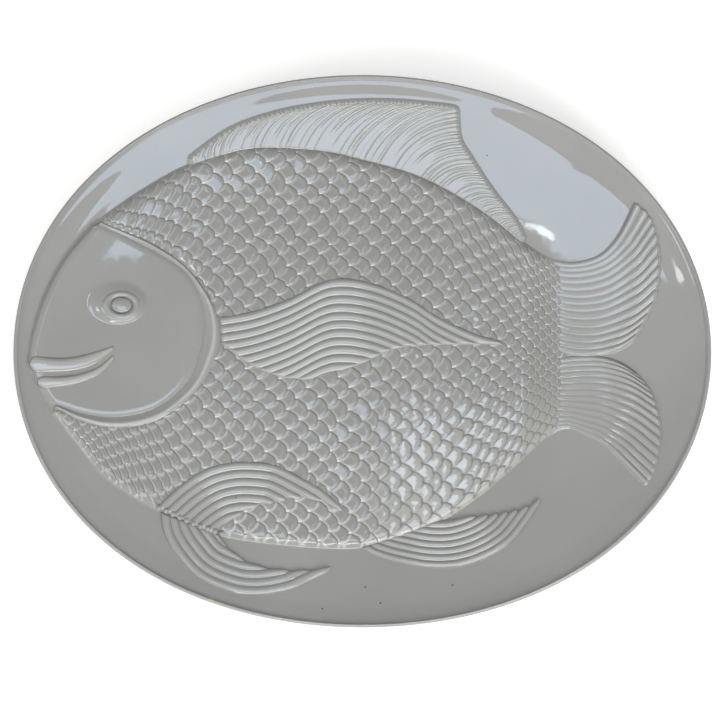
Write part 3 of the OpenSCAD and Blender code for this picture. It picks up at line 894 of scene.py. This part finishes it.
# Pectoral fin: the side fin that lies on the scales, a bundle of thin clay rolls.
# The rolls follow its wavy upper edge, and each one ends where the lower edge cuts it.
ray_cut_shares = np.array([0, 0.08, 0.2, 0.35, 0.5, 0.65, 0.8, 0.92])
ray_dip = 0.72
# Painted shade in the grooves and a painted highlight along the tops of the rolls, partly pooled and
# thinned glaze.
ray_pool_and_shade = 0.9
ray_pool_and_shade_fall = 6
ray_thin_and_highlight = 0.14
ray_thin_and_highlight_share = 0.75
ray_edge_w = 1.6 * mm
ray_edge_share = 0.3
ray_columns = 220
ray_way_step = 0.004
ray_trace_steps = 400
ray_overrun_share = 0.03
ray_skirt = 0.7 * mm
fin_base_h = 0.7 * mm
fin_ray_h = 1.1 * mm
pectoral_pitch = 4.9 * mm
pectoral_rays = 11
pectoral_top_shares = [(-0.409, 0.129), (-0.314, 0.150), (-0.214, 0.194), (-0.111, 0.258), (-0.046, 0.269),
                       (0.020, 0.255), (0.086, 0.226), (0.151, 0.186), (0.217, 0.132), (0.314, 0.075),
                       (0.403, 0.042)]
pectoral_low_shares = [(-0.404, 0.035), (-0.326, -0.037), (-0.249, -0.080), (-0.183, -0.094),
                       (-0.117, -0.091), (-0.051, -0.060), (0.006, -0.034), (0.071, 0.006), (0.140, 0.026),
                       (0.240, 0.031), (0.403, 0.032)]


def ray_ridge(t):
    """Round section of a row of clay rolls, one for each whole step of t."""
    return 1 - ray_dip * (2 * (t % 1) - 1) ** 2


def ray_glaze(ridge):
    """The glaze on such rolls: how far the grooves are darkened, pooled glaze and painted shade, and the
    tops lightened, thinned glaze and painted highlight.
    """
    return (ray_pool_and_shade * (1 - smooth((ridge - 1 + ray_dip) * ray_pool_and_shade_fall)),
            ray_thin_and_highlight * smooth((ridge - ray_thin_and_highlight_share) / (1 - ray_thin_and_highlight_share)))


def ray_steps(v, rays):
    """Where each row of a sheet lies on its rolls, counted in rolls from the first edge."""
    cuts = len(ray_cut_shares)
    spot = np.round(v * rays * cuts).astype(int)
    return spot // cuts + ray_cut_shares[spot % cuts]


def ray_fin(name, lead, cut, pitch, rays, side, seat, tip=0):
    """A fin of clay rolls beside its leading edge, trimmed by its cut edge. side is the way from the
    leading edge to the rolls: one direction, or 1 or -1 for the left or right of the edge. tip is how far
    the point of each roll reaches past the cut edge."""
    piece, u, v = flat_sheet(name, ray_columns, rays * len(ray_cut_shares))
    t = ray_steps(v, rays)
    along = u * (1 + 2 * ray_overrun_share) - ray_overrun_share
    on = np.clip(along, 0, 1)
    way = unit(even_flow([lead], np.clip(on + ray_way_step, 0, 1))
               - even_flow([lead], np.clip(on - ray_way_step, 0, 1)))
    edge = even_flow([lead], forwards)
    length = np.linalg.norm(np.diff(edge, axis=0), axis=1).sum()
    if isinstance(side, tuple):
        across = np.array(side)
    else:
        across = side * np.stack([-way[:, 1], way[:, 0]], axis=1)
    plan = even_flow([lead], on) + way * ((along - on) * length)[:, None] + across * (t * pitch)[:, None]
    set_vertex_places(piece, np.column_stack([plan, t]))
    fine = np.linspace(0, 1, ray_trace_steps)
    path, trace = even_flow([lead], fine), even_flow([cut], fine[::-1])
    gap = np.linalg.norm(trace[:, None] - path, axis=2)
    point = 1 - np.abs(2 * (gap.min(axis=1) / pitch % 1) - 1)
    trace += unit(np.gradient(path, axis=0))[gap.argmin(axis=1)] * (tip * point)[:, None]
    plan, t, depth = trim_sheet(piece, np.concatenate([edge, trace]))
    ridge = ray_ridge(t)
    end = np.sqrt(1 - (1 - np.clip(depth / ray_edge_w, 0, 1)) ** 2)
    height = seat(*plan.T) + fin_base_h + fin_ray_h * ridge * lerp(ray_edge_share, 1, end)
    # The rolls get painted shade in their grooves and a painted highlight along their tops.
    lay_relief(piece, plan, height, *ray_glaze(ridge), ray_skirt)
    return piece


glazed(ray_fin("pectoral_fin_rays", pectoral_top_shares, pectoral_low_shares, pectoral_pitch,
               pectoral_rays, (0, -1), fish_rise), "pectoral_fin")

# Tail: two lobes that spread from the last scales, each a sheet of clay pressed into round rays.
# The rays fan out and run into a thin scalloped edge.
tail_rays = 14
tail_columns = 80
tail_root_h = 0.4 * mm
tail_root_full = 0.08
tail_root_share = 0.28
tail_groove_h = 0.6 * mm
tail_ray_h = 1.1 * mm
tail_skirt = 1.5 * mm
tail_notch_share = 0.012
tail_flange_share = 0.9
tail_lobe_shares = {
    "tail_upper_lobe": (
        [(0.460, 0.115), (0.508, 0.062), (0.557, 0.016), (0.629, -0.003), (0.685, 0.000), (0.735, 0.014),
         (0.778, 0.045)],
        [(0.460, 0.362), (0.577, 0.327), (0.640, 0.330), (0.691, 0.355), (0.731, 0.406), (0.757, 0.460),
         (0.786, 0.535)],
        [(0.460, 0.115), (0.458, 0.230), (0.460, 0.362)],
        [(0.778, 0.045), (0.806, 0.107), (0.837, 0.186), (0.851, 0.276), (0.851, 0.352),
         (0.843, 0.431), (0.823, 0.492), (0.786, 0.535)]),
    "tail_lower_lobe": (
        [(0.505, -0.278), (0.591, -0.264), (0.643, -0.292), (0.683, -0.317), (0.723, -0.361),
         (0.754, -0.404), (0.809, -0.479)],
        [(0.470, -0.090), (0.517, -0.047), (0.565, -0.020), (0.640, -0.012), (0.700, -0.020),
         (0.745, -0.042), (0.785, -0.078)],
        [(0.505, -0.278), (0.482, -0.180), (0.470, -0.090)],
        [(0.809, -0.479), (0.831, -0.429), (0.846, -0.353), (0.851, -0.271), (0.840, -0.190),
         (0.818, -0.128), (0.785, -0.078)])}


def patch(low, high, front, rear, u, v):
    """Plan points of the patch that four edges enclose: u from front to rear, v from low to high."""
    uu, vv = u[:, None], v[:, None]
    corners = [flow(low, 0.0), flow(low, 1.0), flow(high, 0.0), flow(high, 1.0)]
    return (lerp(flow(low, u), flow(high, u), vv) + lerp(flow(front, v), flow(rear, v), uu)
            - lerp(lerp(corners[0], corners[1], uu), lerp(corners[2], corners[3], uu), vv))


for node, (low, high, front, rear) in tail_lobe_shares.items():
    lobe, u, v = flat_sheet(node + "_rays", tail_columns, tail_rays * len(ray_cut_shares))
    t = ray_steps(v, tail_rays)
    notch = 1 - tail_notch_share * np.abs(np.cos(math.pi * t)) ** 3 * u
    plan = patch(low, high, front, rear, np.sin(u * math.pi / 2) * notch, t / tail_rays)
    ridge = ray_ridge(t)
    full = lerp(tail_root_full, 1, smooth((u - tail_root_share) * 2.4))
    full *= smooth((1 - u) / (1 - tail_flange_share))
    height = lerp(tail_root_h, tail_groove_h, smooth(u * 2.5)) + tail_ray_h * ridge * full
    # Painted shade in the grooves and a painted highlight along the tops, as on the other fins.
    pool_and_shade, thin_and_highlight = ray_glaze(ridge)
    lay_relief(lobe, plan, height, pool_and_shade * full, thin_and_highlight, tail_skirt)
    glazed(lobe, node)

# Belly fins: the near pelvic fin on the scales, the far one and the anal fin on the dish below.
# They are bundles of clay rolls like the pectoral fin, each swept round its leading edge. A row of small
# clay pellets is pressed on along the root of the near fin.
pelvic_pitch = 4.75 * mm
pelvic_rays = 9
anal_pitch = 3.9 * mm
anal_rays = 11
belly_fin_tip = 2.6 * mm
pellets = 10
pellet_r = 1.7 * mm
pellet_z = 2.8 * mm
pellet_shares = [(-0.580, -0.560), (-0.477, -0.618), (-0.400, -0.652)]
pelvic_near_top_shares = [(-0.588, -0.558), (-0.509, -0.468), (-0.443, -0.418), (-0.377, -0.396),
                          (-0.314, -0.393), (-0.249, -0.404), (-0.183, -0.443), (-0.117, -0.490),
                          (-0.057, -0.552)]
pelvic_near_low_shares = [(-0.424, -0.657), (-0.376, -0.602), (-0.348, -0.575), (-0.314, -0.552),
                          (-0.249, -0.530), (-0.183, -0.517), (-0.117, -0.530), (-0.064, -0.560)]
pelvic_far_low_shares = [(-0.575, -0.575), (-0.563, -0.655), (-0.523, -0.738), (-0.463, -0.814),
                         (-0.377, -0.860), (-0.300, -0.871), (-0.214, -0.853), (-0.149, -0.817),
                         (-0.094, -0.784)]
pelvic_far_top_shares = [(-0.420, -0.640), (-0.377, -0.713), (-0.314, -0.763), (-0.249, -0.781),
                         (-0.183, -0.787), (-0.100, -0.776)]
anal_low_shares = [(0.000, -0.700), (0.037, -0.727), (0.106, -0.753), (0.194, -0.771), (0.274, -0.767),
                   (0.354, -0.735), (0.423, -0.681), (0.469, -0.612), (0.506, -0.544)]
anal_top_shares = [(0.206, -0.605), (0.300, -0.591), (0.369, -0.587), (0.437, -0.573), (0.477, -0.555),
                   (0.500, -0.536)]


def no_rise(x, y):
    """Seat of a fin that lies straight on the dish."""
    return 0 * x


pelvic_near = ray_fin("pelvic_fin_near_rays", pelvic_near_top_shares, pelvic_near_low_shares,
                      pelvic_pitch, pelvic_rays, -1, fish_rise, belly_fin_tip)
for x, y in even_flow([pellet_shares], np.linspace(0, 1, pellets)):
    bpy.ops.mesh.primitive_uv_sphere_add(segments=14, ring_count=10, radius=pellet_r,
                                         location=(x, y, dish_height(x, y) + pellet_z))
    bpy.ops.object.shade_smooth()
    pelvic_near.select_set(True)
    bpy.context.view_layer.objects.active = pelvic_near
    bpy.ops.object.join()
glazed(pelvic_near, "pelvic_fin_near")
glazed(ray_fin("pelvic_fin_far_rays", pelvic_far_low_shares, pelvic_far_top_shares,
               pelvic_pitch, pelvic_rays, 1, no_rise, belly_fin_tip), "pelvic_fin_far")
glazed(ray_fin("anal_fin_rays", anal_low_shares, anal_top_shares,
               anal_pitch, anal_rays, 1, no_rise, belly_fin_tip), "anal_fin")

# Floor and light: a white paper floor in a grey room that is darker behind the fish's back.
# Blue-white panes overhead and one high strip are only mirrored in the glaze. Two windows, at the belly and
# at the snout, light the clay, each with a stronger fill lamp that the glaze doesn't mirror.
floor_color = (0.93, 0.93, 0.93, 1)
floor_glow = 0.42
room_dark = (0.50, 0.50, 0.50, 1)
room_light = (0.98, 0.97, 0.95, 1)
room_light_side = (-0.4, -0.8, 0.3)
pane_color = (0.58, 0.75, 1)
pane_glow = 4.9
window_color = (1, 0.98, 0.95)
window_glow = 3.5
fill_glow = 9.5
bpy.ops.mesh.primitive_plane_add(size=8, location=(0, 0, 0))
floor = start_piece("studio_floor")
paper = bpy.data.materials.new("floor_paper")
paper.use_nodes = True
nodes, links = paper.node_tree.nodes, paper.node_tree.links
shader = nodes["Principled BSDF"]
shader.inputs["Base Color"].default_value = floor_color
shader.inputs["Roughness"].default_value = 0.9
shader.inputs["Emission Color"].default_value = (1, 1, 1, 1)
seen = nodes.new("ShaderNodeMath")
seen.operation = "MULTIPLY"
seen.inputs[1].default_value = floor_glow
links.new(nodes.new("ShaderNodeLightPath").outputs["Is Camera Ray"], seen.inputs[0])
links.new(seen.outputs["Value"], shader.inputs["Emission Strength"])
floor.data.materials.append(paper)


def soft_light(name, place, turn, size, glow, color):
    """An area lamp with a given brightness of its face."""
    bpy.ops.object.light_add(type="AREA", location=place, rotation=turn)
    lamp = bpy.context.object
    lamp.name = name
    lamp.data.shape = "RECTANGLE"
    lamp.data.size, lamp.data.size_y = size
    lamp.data.energy = glow * math.pi * size[0] * size[1]
    lamp.data.color = color
    lamp.visible_camera = False
    return lamp


panes = {
    "top_box": ((0.03, -0.2275, 2), (0, 0, 0), (0.56, 0.705), pane_glow, pane_color),
    "nose_box": ((0.4, -0.29, 2), (0, 0, 0), (0.18, 0.58), pane_glow, pane_color),
    "side_box": ((-0.335, 0.0625, 2), (0, 0, 0), (0.17, 0.255), pane_glow, pane_color),
    "tail_box": ((-0.19, 0.1575, 2), (0, 0, 0), (0.12, 0.065), pane_glow, pane_color),
    "corner_pane": ((-0.128, 0.145, 1.98), (0, 0, -0.3), (0.036, 0.018), 14, (0.9, 1, 1)),
    "left_pane": ((-0.76, -0.02, 2), (0, 0, 0), (0.2, 0.3), 9, (0.95, 1, 1)),
    "head_pane": ((0.112, 0.25, 2), (0, 0, -0.48), (0.075, 0.021), 5.5, pane_color),
    "scale_pane": ((-0.09, 0.31, 2), (0, 0, 0), (0.07, 0.2), 7, (0.72, 0.85, 1)),
    "high_strip": ((0.3, -1.33, 1.68), (math.radians(39), 0, math.radians(13)), (1.5, 0.5), 8.5,
                   (1, 0.99, 0.96))}
for name, (place, turn, size, glow, color) in panes.items():
    soft_light(name, place, turn, size, glow, color).visible_diffuse = False
windows = {"belly": ((0.9, -1.6, 1.1), (math.radians(58), 0, math.radians(28)), (1.2, 0.6)),
           "snout": ((-1.6, -0.7, 0.9), (math.radians(60), 0, math.radians(-66)), (0.5, 0.4))}
for name, (place, turn, size) in windows.items():
    soft_light(name + "_window", place, turn, size, window_glow, window_color)
    soft_light(name + "_fill", place, turn, size, fill_glow, window_color).visible_glossy = False
world = bpy.data.worlds.new("grey_room")
bpy.context.scene.world = world
world.use_nodes = True
nodes, links = world.node_tree.nodes, world.node_tree.links
look = nodes.new("ShaderNodeTexCoord")
side = nodes.new("ShaderNodeVectorMath")
side.operation = "DOT_PRODUCT"
side.inputs[1].default_value = room_light_side
links.new(look.outputs["Generated"], side.inputs[0])
blend = nodes.new("ShaderNodeValToRGB")
blend.color_ramp.elements[0].position = 0
blend.color_ramp.elements[0].color = room_dark
blend.color_ramp.elements[1].position = 0.8
blend.color_ramp.elements[1].color = room_light
links.new(side.outputs["Value"], blend.inputs["Fac"])
links.new(blend.outputs["Color"], nodes["Background"].inputs["Color"])
